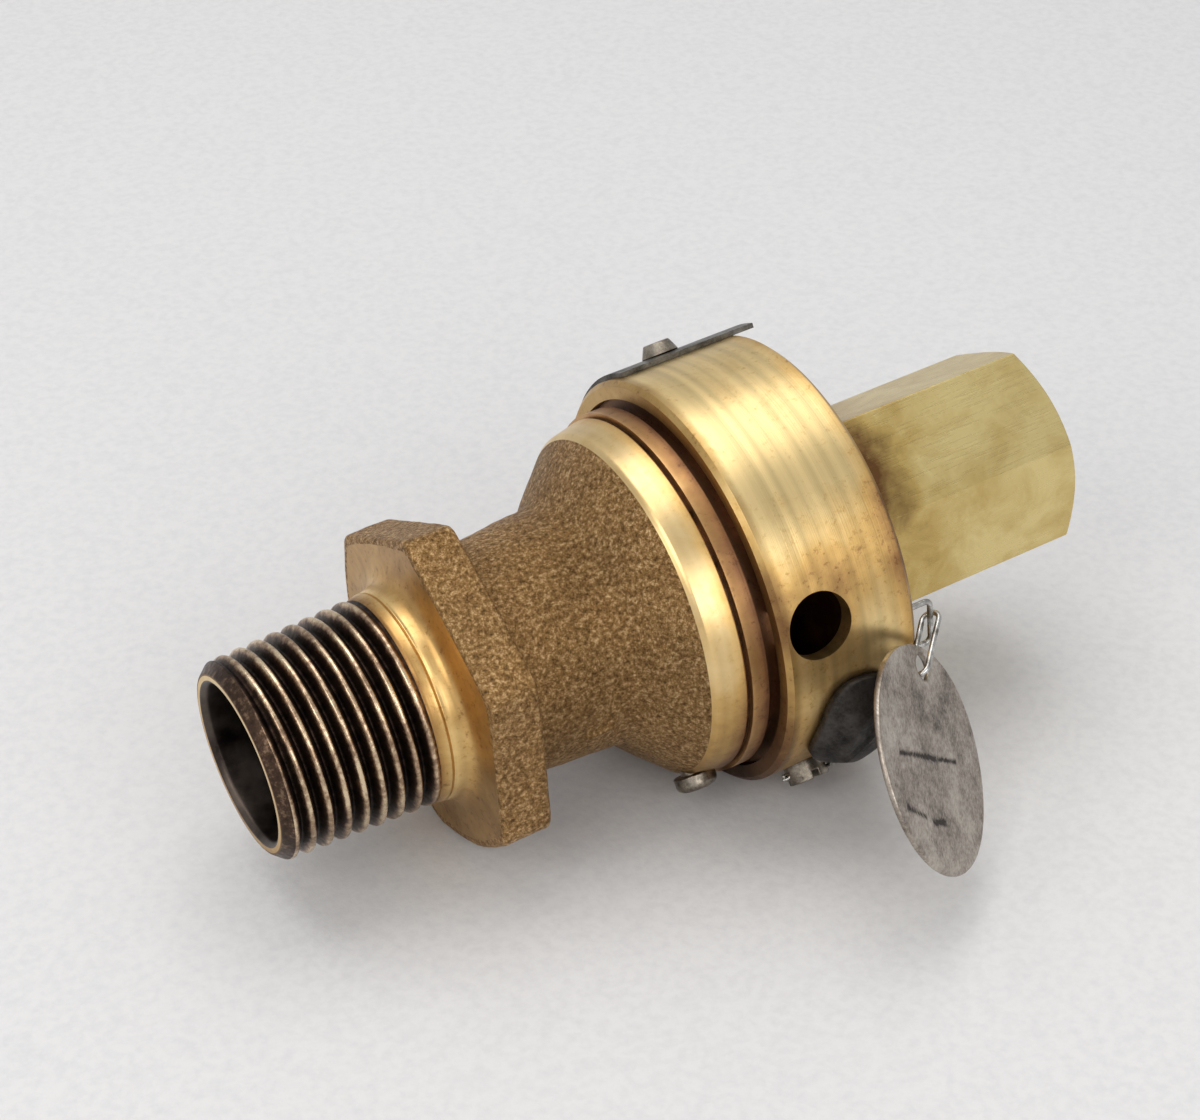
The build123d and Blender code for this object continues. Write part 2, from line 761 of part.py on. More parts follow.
tag_hole = tag_centre - tag_down * tag_hole_offset
loop_top = (bail_points[1] + bail_points[2]) * 0.5
loop_rise = loop_top - tag_hole
loop_up = loop_rise.normalized()
loop_side = (tag_normal - loop_up * tag_normal.dot(loop_up)).normalized()
loop_plane = Plane((loop_top + tag_hole) * 0.5, x_dir=loop_side, z_dir=loop_side.cross(loop_up))
loop_half = loop_rise.length / 2
with BuildPart() as tag_ring:
    with BuildLine(loop_plane) as loop:
        Line((loop_half_width, -loop_half), (loop_half_width, loop_half))
        CenterArc((0, loop_half), loop_half_width, 0, 180)
        Line((-loop_half_width, loop_half), (-loop_half_width, -loop_half))
        CenterArc((0, -loop_half), loop_half_width, 180, 180)
    with BuildSketch(Plane(loop.line @ 0, z_dir=loop.line % 0)):
        Circle(loop_wire_r)
    sweep(path=loop.line)
finish(tag_ring, "tag_ring")
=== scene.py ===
import json
from math import cos, pi, radians

import bmesh
import bpy
import numpy as np
from mathutils import Matrix, Vector


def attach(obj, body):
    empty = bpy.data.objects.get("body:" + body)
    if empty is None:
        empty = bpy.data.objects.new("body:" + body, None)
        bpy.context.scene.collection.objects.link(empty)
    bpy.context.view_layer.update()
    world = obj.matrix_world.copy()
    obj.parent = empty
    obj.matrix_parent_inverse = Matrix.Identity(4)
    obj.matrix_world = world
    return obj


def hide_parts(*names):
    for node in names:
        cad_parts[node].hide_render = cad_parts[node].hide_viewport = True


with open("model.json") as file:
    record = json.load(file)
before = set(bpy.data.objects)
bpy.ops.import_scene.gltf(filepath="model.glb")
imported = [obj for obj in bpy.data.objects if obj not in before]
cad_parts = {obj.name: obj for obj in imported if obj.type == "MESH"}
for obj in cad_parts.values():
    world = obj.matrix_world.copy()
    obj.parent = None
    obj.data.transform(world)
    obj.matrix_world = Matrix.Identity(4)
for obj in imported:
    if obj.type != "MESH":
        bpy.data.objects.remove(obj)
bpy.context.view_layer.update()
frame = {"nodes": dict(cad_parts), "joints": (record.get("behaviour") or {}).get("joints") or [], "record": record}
nodes = frame["nodes"]
bodyOfNode = {node: body for body, names in frame["record"]["behaviour"]["bodies"].items() for node in names}
joints = {joint["name"]: joint for joint in frame["joints"]}
mm = 0.001
print("frame loaded:", len(nodes), "CAD nodes")


# colours and shader nodes
def linearColour(code):
    # sRGB hex to the linear values that shaders use
    channels = np.array([int(code[i : i + 2], 16) for i in (1, 3, 5)]) / 255
    linear = np.where(channels <= 0.04045, channels / 12.92, ((channels + 0.055) / 1.055) ** 2.4)
    return (*linear.tolist(), 1.0)


def addNode(tree, kind, values=None, links=None, stops=None, **settings):
    node = tree.nodes.new("ShaderNode" + kind)
    for name, value in settings.items():
        setattr(node, name, value)
    for socket, value in (values or {}).items():
        node.inputs[socket].default_value = value
    for socket, source in (links or {}).items():
        tree.links.new(source, node.inputs[socket])
    if stops:
        ramp = node.color_ramp
        while len(ramp.elements) < len(stops):
            ramp.elements.new(0.5)
        for element, (place, code) in zip(ramp.elements, stops):
            element.position = place
            element.color = linearColour(code)
    return node


def startMaterial(name):
    material = bpy.data.materials.new(name)
    material.use_nodes = True
    tree = material.node_tree
    tree.nodes.clear()
    place = addNode(tree, "TexCoord").outputs["Object"]
    inMillimetres = addNode(tree, "VectorMath", {1: (1000, 1000, 1000)}, {0: place}, operation="MULTIPLY")
    return material, tree, inMillimetres.outputs[0]


def finishMaterial(tree, colour, roughness, height, bumpDepth, metallic=1.0, bumpStrength=1.0):
    links = {"Roughness": roughness}
    if height is not None:
        bump = addNode(
            tree, "Bump", {"Strength": bumpStrength, "Distance": bumpDepth * mm}, {"Height": height}
        )
        links["Normal"] = bump.outputs[0]
    values = {"Metallic": metallic}
    if isinstance(colour, str):
        values["Base Color"] = linearColour(colour)
    else:
        links["Base Color"] = colour
    shader = addNode(tree, "BsdfPrincipled", values, links)
    addNode(tree, "OutputMaterial", links={0: shader.outputs[0]})


# shapes
def gridMesh(name, points, closedAlong=True, closedAround=True, zones=None):
    # points[i, j] in millimetres; quads join row i to i + 1 and column j to j + 1
    rows, columns = points.shape[:2]
    i = np.arange(rows if closedAlong else rows - 1)[:, None]
    j = np.arange(columns if closedAround else columns - 1)[None, :]
    down, right = (i + 1) % rows, (j + 1) % columns
    corners = [i * columns + j, i * columns + right, down * columns + right, down * columns + j]
    quads = np.stack([np.broadcast_to(corner, (i.size, j.size)) for corner in corners], axis=-1)
    mesh = bpy.data.meshes.new(name)
    mesh.from_pydata((points.reshape(-1, 3) * mm).tolist(), [], quads.reshape(-1, 4).tolist())
    if zones is not None:
        mesh.polygons.foreach_set("material_index", np.repeat(zones[: i.size], j.size))
    mesh.polygons.foreach_set("use_smooth", np.ones(len(mesh.polygons), dtype=bool))
    mesh.update()
    return mesh


def closeMesh(mesh):
    # merges poles and seams, then turns every face outwards
    work = bmesh.new()
    work.from_mesh(mesh)
    bmesh.ops.remove_doubles(work, verts=work.verts, dist=0.0005 * mm)
    bmesh.ops.dissolve_degenerate(work, edges=work.edges, dist=0.0001 * mm)
    bmesh.ops.recalc_face_normals(work, faces=work.faces)
    work.to_mesh(mesh)
    work.free()
    mesh.update()


def addPiece(name, mesh, materials, replaced):
    piece = bpy.data.objects.new(name, mesh)
    bpy.context.scene.collection.objects.link(piece)
    for material in materials:
        mesh.materials.append(material)
    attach(piece, bodyOfNode[replaced[0]])
    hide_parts(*replaced)
    return piece


def roundedPath(points, radii, stepLength):
    # straight runs joined by parabolas that leave each corner by its radius, sampled at about stepLength
    points, samples, zones = np.array(points, float), [], []
    for k in range(len(points)):
        before, here, after = points[k - 1], points[k], points[(k + 1) % len(points)]
        towards, away = before[:2] - here[:2], after[:2] - here[:2]
        reachIn = min(radii[k] / max(np.linalg.norm(towards), 1e-9), 0.49)
        reachOut = min(radii[k] / max(np.linalg.norm(away), 1e-9), 0.49)
        start, end = here + (before - here) * reachIn, here + (after - here) * reachOut
        t = np.linspace(0, 1, 6)[:, None]
        arc = (1 - t) ** 2 * start + 2 * t * (1 - t) * here + t**2 * end
        nextIn = min(radii[(k + 1) % len(points)] / max(np.linalg.norm(away), 1e-9), 0.49)
        runEnd = after + (here - after) * nextIn
        count = max(int(np.linalg.norm(runEnd[:2] - end[:2]) / stepLength), 1)
        run = end + (runEnd - end) * np.linspace(0, 1, count, endpoint=False)[1:, None]
        samples += [arc, run]
    return np.concatenate(samples)


def tubeAlong(path, radius, sides, closed):
    # a circle of the given radius carried along a path, kept square to it
    if closed:
        tangent = np.roll(path, -1, axis=0) - np.roll(path, 1, axis=0)
    else:
        tangent = np.gradient(path, axis=0)
    tangent /= np.linalg.norm(tangent, axis=1, keepdims=True)
    reference = np.linalg.svd(path - path.mean(axis=0))[2][2]
    side = np.cross(tangent, reference)
    side /= np.linalg.norm(side, axis=1, keepdims=True)
    up = np.cross(side, tangent)
    turn = np.linspace(0, 2 * pi, sides, endpoint=False)[None, :, None]
    radii = np.broadcast_to(np.asarray(radius, float).reshape(-1, 1, 1), (len(path), 1, 1))
    return path[:, None] + radii * (np.cos(turn) * side[:, None] + np.sin(turn) * up[:, None])


def aroundAxis(x, radius, angle):
    # a point at a distance along the valve axis, a radius and an angle from +Y towards +Z
    x, radius, angle = np.broadcast_arrays(x, radius, angle)
    return np.stack([x, radius * np.cos(angle), radius * np.sin(angle)], axis=-1)


def smoothStep(start, end, value):
    t = np.clip((value - start) / (end - start), 0, 1)
    return t * t * (3 - 2 * t)


def lumpyNoise(points, wavelength):
    # sum of three skewed sine waves, between -1 and 1, that repeats nowhere on the piece
    k = 2 * pi / wavelength
    a = np.sin(k * (points @ np.array([0.8, 0.5, -0.3])) + 1.3)
    b = np.sin(k * 1.31 * (points @ np.array([-0.4, 0.7, 0.6])) + 4.1)
    c = np.sin(k * 0.77 * (points @ np.array([0.3, -0.6, 0.9])) + 2.2)
    return (a * b + b * c + c * a) / 3


# materials

# cast bronze, sand cast and grit blasted: a dull brown skin with bright gold grains
castBronzeLook = {
    "hollow": "#4B3723", "skin": "#957348", "grain": "#E3C596", "gritMm": 0.46, "patchMm": 9.0,
}
castBronze, tree, place = startMaterial("sandblastedCastBronze")
grit = addNode(
    tree, "TexNoise", {"Scale": 1 / castBronzeLook["gritMm"], "Detail": 6.0, "Roughness": 0.85},
    {"Vector": place},
)
patch = addNode(
    tree, "TexNoise", {"Scale": 1 / castBronzeLook["patchMm"], "Detail": 3.0}, {"Vector": place},
)
skin = addNode(
    tree, "ValToRGB", links={0: grit.outputs[0]},
    stops=[
        (0.36, castBronzeLook["hollow"]), (0.52, castBronzeLook["skin"]), (0.68, castBronzeLook["grain"]),
    ],
)
split = addNode(tree, "SeparateXYZ", links={0: place})
# the flange end is painted lighter and the cast darkens towards the bowl under the rim, a painted shade of that
# recess
flangeLitBowlShade = addNode(tree, "MapRange", {1: 24.0, 2: 34.0, 3: 0.2, 4: 0.0}, {0: split.outputs[0]})
mottle = addNode(tree, "MapRange", {1: 0.3, 2: 0.75, 3: 0.75, 4: 1.1}, {0: patch.outputs[0]})
shade = addNode(tree, "Math", links={0: mottle.outputs[0], 1: flangeLitBowlShade.outputs[0]}, operation="ADD")
shaded = addNode(
    tree, "VectorMath", links={0: skin.outputs[0], 1: shade.outputs[0]}, operation="MULTIPLY",
)
dull = addNode(tree, "MapRange", {1: 0.35, 2: 0.7, 3: 0.62, 4: 0.38}, {0: grit.outputs[0]})
finishMaterial(tree, shaded.outputs[0], dull.outputs[0], grit.outputs[0], 0.16)


# turned brass with heat tint: bright where the tool cut it, brown to purple where steam and heat reached it
def turnedBrassMaterial(name, look, tintAndShadeMask):
    material, tree, place = startMaterial(name)
    split = addNode(tree, "SeparateXYZ", links={0: place})
    lines = addNode(
        tree, "TexNoise", {
            "Scale": 1 / look["lineMm"], "Detail": 2.0, "Roughness": 0.8,
        }, {"W": split.outputs[0]},
        noise_dimensions="1D",
    )
    broad = addNode(
        tree, "TexNoise", {"Scale": 1 / (look["lineMm"] * 9), "Detail": 1.0}, {"W": split.outputs[0]},
        noise_dimensions="1D",
    )
    cloud = addNode(
        tree, "TexNoise", {
            "Scale": 1 / look["cloudMm"], "Detail": 5.0, "Roughness": 0.62, "Distortion": 0.4,
        },
        {"Vector": place},
    )
    speck = addNode(
        tree, "TexNoise", {"Scale": 1 / look["speckMm"], "Detail": 4.0, "Roughness": 0.75},
        {"Vector": place},
    )
    specked = addNode(
        tree, "MapRange", {1: 0.56, 2: 0.72, 3: 0.0, 4: look["speckAmount"]}, {0: speck.outputs[0]},
    )
    # the mask is heat tint, and on the drum and rim it also holds painted shade on the underside
    mask = tintAndShadeMask(tree, place, split)
    # tint = mask + (cloud - 0.5) * spread, kept between 0 and 1
    cloudy = addNode(tree, "Math", {1: 0.5}, {0: cloud.outputs[0]}, operation="SUBTRACT")
    spread = addNode(
        tree, "Math", {1: look["tintSpread"]}, {0: cloudy.outputs[0], 2: mask}, operation="MULTIPLY_ADD",
    )
    tint = addNode(
        tree, "Math", links={0: spread.outputs[0], 1: specked.outputs[0]}, operation="ADD",
        use_clamp=True,
    )
    colour = addNode(
        tree, "ValToRGB", links={0: tint.outputs[0]},
        stops=[(0.0, look["bright"]), (0.3, look["worn"]), (0.62, look["tint"]), (1.0, look["dark"])],
    )
    streak = addNode(tree, "MapRange", {1: 0.3, 2: 0.7, 3: 0.86, 4: 1.1}, {0: broad.outputs[0]})
    streaked = addNode(
        tree, "VectorMath", links={0: colour.outputs[0], 1: streak.outputs[0]}, operation="MULTIPLY",
    )
    rough = addNode(
        tree, "MapRange", {1: 0.0, 2: 1.0, 3: look["roughBright"], 4: look["roughDark"]},
        {0: tint.outputs[0]},
    )
    roughLines = addNode(
        tree, "Math", {1: 0.12}, {0: lines.outputs[0], 2: rough.outputs[0]}, operation="MULTIPLY_ADD",
    )
    finishMaterial(
        tree, streaked.outputs[0], roughLines.outputs[0], lines.outputs[0], look["lineDepthMm"],
    )
    return material


drumLook = {
    "bright": "#EBD096", "worn": "#CBA668", "tint": "#85603F", "dark": "#3C2A21", "lineMm": 0.16,
    "lineDepthMm": 0.012, "cloudMm": 7.0, "speckMm": 0.8, "speckAmount": 0.22, "tintSpread": 0.75,
    "roughBright": 0.27, "roughDark": 0.46,
}


def drumTintAndUnderShade(tree, place, split):
    # tint gathers round the discharge hole, at the lip and along the cap end; the underside is darkened as painted
    # shade
    holePlace = aroundAxis(52.0, 21.3, radians(158))
    holeGap = addNode(tree, "VectorMath", {1: tuple(holePlace)}, {0: place}, operation="DISTANCE")
    nearHole = addNode(tree, "MapRange", {1: 3.4, 2: 7.0, 3: 0.3, 4: 0.0}, {0: holeGap.outputs["Value"]})
    cornerPlace = aroundAxis(61.5, 21.3, radians(150))
    cornerGap = addNode(tree, "VectorMath", {1: tuple(cornerPlace)}, {0: place}, operation="DISTANCE")
    nearCorner = addNode(
        tree, "MapRange", {1: 1.0, 2: 9.0, 3: 0.42, 4: 0.0}, {0: cornerGap.outputs["Value"]},
    )
    endGap = addNode(tree, "MapRange", {1: 60.0, 2: 62.4, 3: 0.0, 4: 0.3}, {0: split.outputs[0]})
    lip = addNode(tree, "MapRange", {1: 49.5, 2: 48.2, 3: 0.0, 4: 0.28}, {0: split.outputs[0]})
    # painted shade: the drum is darkened towards its underside
    paintedUnderShade = addNode(tree, "MapRange", {1: 4.0, 2: -16.0, 3: 0.0, 4: 0.55}, {0: split.outputs[2]})
    first = addNode(
        tree, "Math", links={0: nearHole.outputs[0], 1: nearCorner.outputs[0]}, operation="ADD",
    )
    second = addNode(tree, "Math", links={0: endGap.outputs[0], 1: lip.outputs[0]}, operation="ADD")
    both = addNode(tree, "Math", links={0: first.outputs[0], 1: second.outputs[0]}, operation="ADD")
    return addNode(
        tree, "Math", links={0: both.outputs[0], 1: paintedUnderShade.outputs[0]}, operation="ADD",
    ).outputs[0]


drumBrass = turnedBrassMaterial("turnedBrassDrum", drumLook, drumTintAndUnderShade)

rimLook = dict(drumLook, lineMm=0.2, cloudMm=5.0, speckAmount=0.12, tintSpread=0.6, bright="#E6CA94")


def rimSeamTintAndUnderShade(tree, place, split):
    # the rim is painted bright on top and darker underneath as painted shade, and browner towards the seam
    seamSide = addNode(tree, "MapRange", {1: 43.2, 2: 44.8, 3: 0.05, 4: 0.4}, {0: split.outputs[0]})
    # painted shade: the rim is darkened towards its underside
    paintedUnderShade = addNode(tree, "MapRange", {1: 4.0, 2: -14.0, 3: 0.0, 4: 0.5}, {0: split.outputs[2]})
    return addNode(
        tree, "Math", links={0: seamSide.outputs[0], 1: paintedUnderShade.outputs[0]}, operation="ADD",
    ).outputs[0]


rimBrass = turnedBrassMaterial("turnedBrassRim", rimLook, rimSeamTintAndUnderShade)

# bonnet brass: run hot, so it carries a pink to purple brown skin
bonnetLook = dict(drumLook, bright="#DDB57C", worn="#BA8F5E", tint="#7F5B42", dark="#33241C", lineMm=0.2)


def bonnetTint(tree, place, split):
    ringSide = addNode(tree, "MapRange", {1: 45.2, 2: 46.9, 3: 0.2, 4: 0.62}, {0: split.outputs[0]})
    return ringSide.outputs[0]


bonnetBrass = turnedBrassMaterial("heatTintedBonnetBrass", bonnetLook, bonnetTint)

# flange face and neck: machined once, then dulled by handling
neckLook = dict(
    drumLook, bright="#E8C88A", worn="#C7A064", tint="#8D6840", dark="#483222", lineMm=0.18, cloudMm=4.5,
    tintSpread=0.7, speckAmount=0.25, roughBright=0.24, roughDark=0.45,
)


def neckTint(tree, place, split):
    # bright at the neck, brown towards the flange edge and next to the thread
    faceSide = addNode(tree, "MapRange", {1: 17.6, 2: 19.4, 3: 0.12, 4: 0.42}, {0: split.outputs[0]})
    threadSide = addNode(tree, "MapRange", {1: 17.0, 2: 15.6, 3: 0.0, 4: 0.6}, {0: split.outputs[0]})
    return addNode(
        tree, "Math", links={0: faceSide.outputs[0], 1: threadSide.outputs[0]}, operation="ADD",
    ).outputs[0]


neckBrass = turnedBrassMaterial("satinTurnedNeckBrass", neckLook, neckTint)

# used pipe thread: dark oxide and old sealant in the roots, bare metal rubbed through on the crests
threadLook = {
    "root": "#191412", "flank": "#4A3A30", "rubbed": "#9A8068", "bare": "#DCC6A6", "flakeMm": 0.8,
}
threadOxide, tree, place = startMaterial("oxidisedPipeThread")
wear = addNode(tree, "Attribute", attribute_name="crestWear")
flake = addNode(
    tree, "TexNoise", {"Scale": 1 / threadLook["flakeMm"], "Detail": 5.0, "Roughness": 0.7},
    {"Vector": place},
)
chip = addNode(tree, "Math", {1: 0.5}, {0: flake.outputs[0]}, operation="SUBTRACT")
worn = addNode(
    tree, "Math", {1: 1.1}, {0: chip.outputs[0], 2: wear.outputs["Fac"]}, operation="MULTIPLY_ADD",
    use_clamp=True,
)
colour = addNode(
    tree, "ValToRGB", links={0: worn.outputs[0]},
    stops=[
        (0.0, threadLook["root"]), (0.45, threadLook["flank"]), (0.72, threadLook["rubbed"]),
        (0.95, threadLook["bare"]),
    ],
)
rough = addNode(tree, "MapRange", {1: 0.0, 2: 1.0, 3: 0.5, 4: 0.26}, {0: worn.outputs[0]})
finishMaterial(tree, colour.outputs[0], rough.outputs[0], flake.outputs[0], 0.05)

# inlet bore: smooth, with a thin dark steam film
boreLook = {"film": "#2B2523", "metal": "#6B6058", "patchMm": 5.0}
boreFilm, tree, place = startMaterial("steamDarkenedBore")
film = addNode(
    tree, "TexNoise", {"Scale": 1 / boreLook["patchMm"], "Detail": 5.0, "Roughness": 0.6},
    {"Vector": place},
)
colour = addNode(
    tree, "ValToRGB", links={0: film.outputs[0]},
    stops=[(0.35, boreLook["film"]), (0.75, boreLook["metal"])],
)
rough = addNode(tree, "MapRange", {1: 0.3, 2: 0.7, 3: 0.3, 4: 0.5}, {0: film.outputs[0]})
finishMaterial(tree, colour.outputs[0], rough.outputs[0], film.outputs[0], 0.03)

# drawn hexagon bar brass: paler than the castings, fine draw lines along the bar, stained near the drum
barLook = {
    "bright": "#DFCB8E", "worn": "#C3A766", "stain": "#6A4B2E", "lineMm": 0.22, "cloudMm": 6.0,
    "stainStartMm": 77.0,
    "stainEndMm": 63.0,
}
barBrass, tree, place = startMaterial("drawnHexagonBarBrass")
split = addNode(tree, "SeparateXYZ", links={0: place})
stretched = addNode(tree, "VectorMath", {1: (0.06, 1, 1)}, {0: place}, operation="MULTIPLY")
lines = addNode(
    tree, "TexNoise", {"Scale": 1 / barLook["lineMm"], "Detail": 3.0, "Roughness": 0.7},
    {"Vector": stretched.outputs[0]},
)
cloud = addNode(
    tree, "TexNoise",
    {"Scale": 1 / barLook["cloudMm"], "Detail": 5.0, "Roughness": 0.65, "Distortion": 0.5},
    {"Vector": place},
)
near = addNode(
    tree, "MapRange", {1: barLook["stainStartMm"], 2: barLook["stainEndMm"], 3: 0.0, 4: 0.5},
    {0: split.outputs[0]},
)
scorchPlace = tuple(aroundAxis(65.5, 10.0, radians(120)))
scorchGap = addNode(tree, "VectorMath", {1: scorchPlace}, {0: place}, operation="DISTANCE")
scorch = addNode(tree, "MapRange", {1: 1.5, 2: 8.0, 3: 0.75, 4: 0.0}, {0: scorchGap.outputs["Value"]})
near = addNode(tree, "Math", links={0: near.outputs[0], 1: scorch.outputs[0]}, operation="ADD")
offset = addNode(tree, "Math", {1: 0.42}, {0: cloud.outputs[0]}, operation="SUBTRACT")
stain = addNode(
    tree, "Math", {1: 1.3}, {0: offset.outputs[0], 2: near.outputs[0]}, operation="MULTIPLY_ADD",
    use_clamp=True,
)
colour = addNode(
    tree, "ValToRGB", links={0: stain.outputs[0]},
    stops=[(0.0, barLook["bright"]), (0.4, barLook["worn"]), (0.95, barLook["stain"])],
)
lineRough = addNode(tree, "MapRange", {1: 0.3, 2: 0.7, 3: 0.24, 4: 0.36}, {0: lines.outputs[0]})
finishMaterial(tree, colour.outputs[0], lineRough.outputs[0], lines.outputs[0], 0.012)


# plain metals that share one recipe: cloud of two tones, fine grain, and a little wear
def plainMetal(name, light, dark, cloudMm, grainMm, grainDepthMm, roughLow, roughHigh, metallic=1.0):
    material, tree, place = startMaterial(name)
    cloud = addNode(
        tree, "TexNoise", {"Scale": 1 / cloudMm, "Detail": 5.0, "Roughness": 0.65}, {"Vector": place},
    )
    grain = addNode(
        tree, "TexNoise", {"Scale": 1 / grainMm, "Detail": 3.0, "Roughness": 0.7}, {"Vector": place},
    )
    mixed = addNode(
        tree, "Math", {1: 0.35}, {0: grain.outputs[0], 2: cloud.outputs[0]}, operation="MULTIPLY_ADD",
    )
    colour = addNode(tree, "ValToRGB", links={0: mixed.outputs[0]}, stops=[(0.5, dark), (0.85, light)])
    rough = addNode(tree, "MapRange", {1: 0.45, 2: 0.9, 3: roughHigh, 4: roughLow}, {0: mixed.outputs[0]})
    finishMaterial(tree, colour.outputs[0], rough.outputs[0], grain.outputs[0], grainDepthMm, metallic)
    return material


# plated screws gone grey, thin sheet steel, drawn wire, soft lead, annealed copper, turned stainless
screwSteel = plainMetal("dulledPlatedScrewSteel", "#A79E90", "#463E35", 1.6, 0.15, 0.01, 0.25, 0.48)
plateSteel = plainMetal("thinSheetSteel", "#6E6A63", "#34312D", 3.0, 0.2, 0.012, 0.28, 0.5)
bareWire = plainMetal("stainlessWire", "#D2D2D0", "#77736C", 1.2, 0.12, 0.008, 0.2, 0.36)
pinchedLead = plainMetal("pinchedLead", "#4C4845", "#1C1917", 2.6, 0.3, 0.03, 0.42, 0.62, 0.75)
softCopper = plainMetal("annealedCopper", "#5E4636", "#241913", 2.5, 0.2, 0.01, 0.3, 0.5)
turnedStainless = plainMetal("turnedStainless", "#B4B1AA", "#6A655E", 4.0, 0.2, 0.008, 0.22, 0.4)
springSteel = plainMetal("drawnSpringSteel", "#7C7D80", "#3D3B3A", 2.0, 0.15, 0.008, 0.25, 0.4)

# stamped round tag of soft grey metal: scuffed all over, with dirt in the scratches
tagLook = {"clean": "#BDB5AA", "scuffed": "#968C82", "dirt": "#3F3A36", "scratchMm": 0.3, "cloudMm": 6.0}
tagMetal, tree, place = startMaterial("scuffedTagMetal")
turned = addNode(
    tree, "Mapping", {"Rotation": (0.5, 0.2, 0.9), "Scale": (1.0, 0.12, 1.0)}, {"Vector": place},
)
scratch = addNode(
    tree, "TexNoise", {"Scale": 1 / tagLook["scratchMm"], "Detail": 3.0, "Roughness": 0.75},
    {"Vector": turned.outputs[0]},
)
cloud = addNode(
    tree, "TexNoise", {"Scale": 1 / tagLook["cloudMm"], "Detail": 5.0, "Roughness": 0.7},
    {"Vector": place},
)
scored = addNode(tree, "Attribute", attribute_name="scoreDepth")
mixed = addNode(
    tree, "Math", {1: 0.55}, {0: scratch.outputs[0], 2: cloud.outputs[0]}, operation="MULTIPLY_ADD",
)
dirty = addNode(tree, "MapRange", {1: 0.6, 2: 1.0, 3: 0.0, 4: 0.85}, {0: mixed.outputs[0]})
withScores = addNode(
    tree, "Math", links={0: dirty.outputs[0], 1: scored.outputs["Fac"]}, operation="ADD", use_clamp=True,
)
colour = addNode(
    tree, "ValToRGB", links={0: withScores.outputs[0]},
    stops=[(0.0, tagLook["clean"]), (0.45, tagLook["scuffed"]), (0.95, tagLook["dirt"])],
)
rough = addNode(tree, "MapRange", {1: 0.0, 2: 1.0, 3: 0.3, 4: 0.55}, {0: withScores.outputs[0]})
finishMaterial(tree, colour.outputs[0], rough.outputs[0], scratch.outputs[0], 0.02)
print("materials made")

# body: one closed skin of revolution; the thread, the flange and the cast surfaces bend it with the angle
bodyShape = {
    "pitch": 25.4 / 14, "threadDepth": 1.15, "firstCrest": 1.9, "flatHalfWidth": 15.33, "crown": 1.27,
    "roundnessPower": 46, "flangeRadius": 15.0, "castLumpMm": 0.07, "castLumpWave": 5.5, "fineLumpMm": 0.035,
    "fineLumpWave": 1.7, "dashMm": 0.3,
}
# x, radius, share of the flange outline, zone of the run that starts here, corner radius
bodyProfile = [
    (31.0, 7.95, 0, 4, 0.05), (0.5, 7.95, 0, 4, 0.25), (0.0, 8.35, 0, 4, 0.12), (0.0, 9.15, 0, 0, 0.2),
    (1.1, 10.1, 0, 0, 0.15), (15.6, 10.65, 0, 0, 0.3), (16.2, 10.55, 0, 1, 0.3), (17.0, 10.8, 0, 1, 0.3),
    (17.3, 10.62, 0, 1, 0.12), (17.5, 10.8, 0, 1, 0.12), (19.0, 11.2, 0, 1, 1.2), (19.5, 13.2, 0, 1, 0.9),
    (19.45, 15.0, 1, 2, 0.45), (24.7, 15.0, 1, 2, 0.6), (24.7, 12.4, 0, 2, 0.7), (25.6, 11.7, 0, 2, 1.0),
    (36.2, 12.5, 0, 2, 1.0), (37.9, 14.4, 0, 2, 1.6), (40.4, 16.7, 0, 2, 1.2), (41.75, 18.0, 0, 3, 0.25),
    (44.7, 18.63, 0, 3, 0.12), (44.8, 18.4, 0, 4, 0.08), (44.8, 15.5, 0, 4, 0.1), (40.7, 15.5, 0, 4, 0.1),
    (40.7, 9.0, 0, 4, 0.1), (31.0, 9.0, 0, 4, 0.05),
]
corners = [row[:4] for row in bodyProfile]
sampled = roundedPath(corners, [row[4] for row in bodyProfile], 0.3)
threadRows = (sampled[:, 0] > 1.2) & (sampled[:, 0] < 15.5) & (sampled[:, 1] > 9.2)
first, last = np.flatnonzero(threadRows)[[0, -1]]
fine = np.linspace(0, 1, 150)[:, None]
thread = sampled[first] * (1 - fine) + sampled[last] * fine
sampled = np.concatenate([sampled[:first], thread, sampled[last + 1 :]])
x, radius, share, zone = sampled.T[:, :, None]
angle = np.linspace(0, 2 * pi, 300, endpoint=False)[None, :]


def flangeOutline(angle):
    # six sides blended by a high power so that corners come out rounded; three of them are crowned
    facing = [np.cos(angle - radians(60 * k)) for k in range(6)]
    power = bodyShape["roundnessPower"]
    blend = sum(np.clip(c, 0, None) ** power for c in facing) ** (-1 / power)
    bulge = sum(
        np.clip(np.cos(3 * np.arccos(np.clip(facing[k], -1, 1))), 0, None) * (facing[k] > cos(pi / 6))
        for k in (0, 4, 5)
    )
    return bodyShape["flatHalfWidth"] * blend + bodyShape["crown"] * bulge


toothShape = {"crestShare": 0.14, "flankShare": 0.78, "round": 0.6, "straight": 0.4}


def threadProfile(phase):
    # one tooth: a flat crest, straight flanks and a rounded root; 0 is the crest and 1 the root
    fromCrest = np.abs((phase + 0.5) % 1 - 0.5) * 2
    flank = np.clip((fromCrest - toothShape["crestShare"]) / toothShape["flankShare"], 0, 1)
    return smoothStep(0.0, 1.0, flank) * toothShape["round"] + flank * toothShape["straight"]


